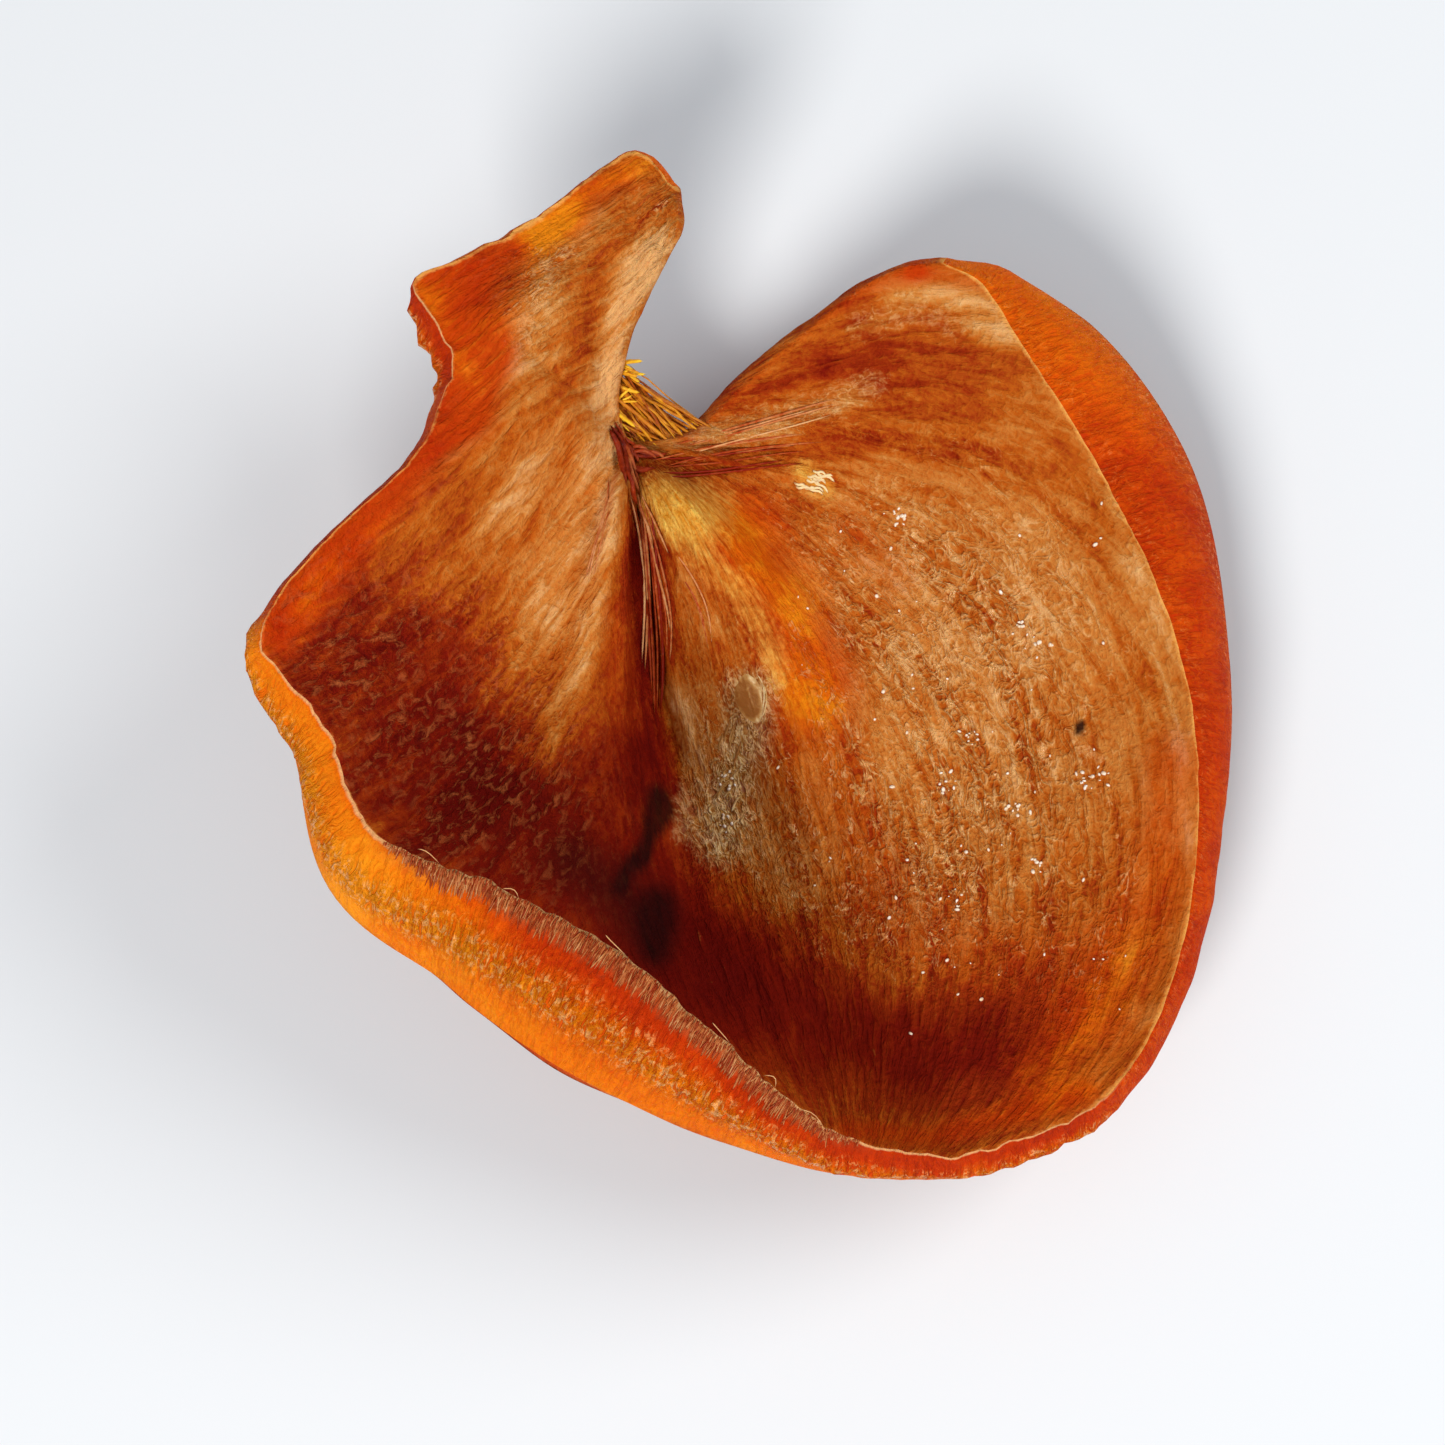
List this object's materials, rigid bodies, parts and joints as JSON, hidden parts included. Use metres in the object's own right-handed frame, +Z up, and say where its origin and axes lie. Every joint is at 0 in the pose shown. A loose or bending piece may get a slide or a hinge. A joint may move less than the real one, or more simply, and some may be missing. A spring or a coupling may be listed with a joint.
{
  "type": "dried persimmon slice",
  "caption": "Cupped, heart-shaped slice of dried persimmon with a notch at the calyx and a strip of skin round its rim.",
  "frame": {"origin": "centre of the slice's outline, on the surface it lies on", "axes": "+Z up, cup side up; +Y towards the calyx notch; +X towards the broad half"},
  "size_m": [0.0514, 0.0552, 0.0218],
  "materials": {
    "dried_flesh": "leathery dried fruit flesh with an orange strip of skin round the rim"
  },
  "bodies": {
    "root": {"persimmon_slice": "dried_flesh"}
  },
  "joints": []
}
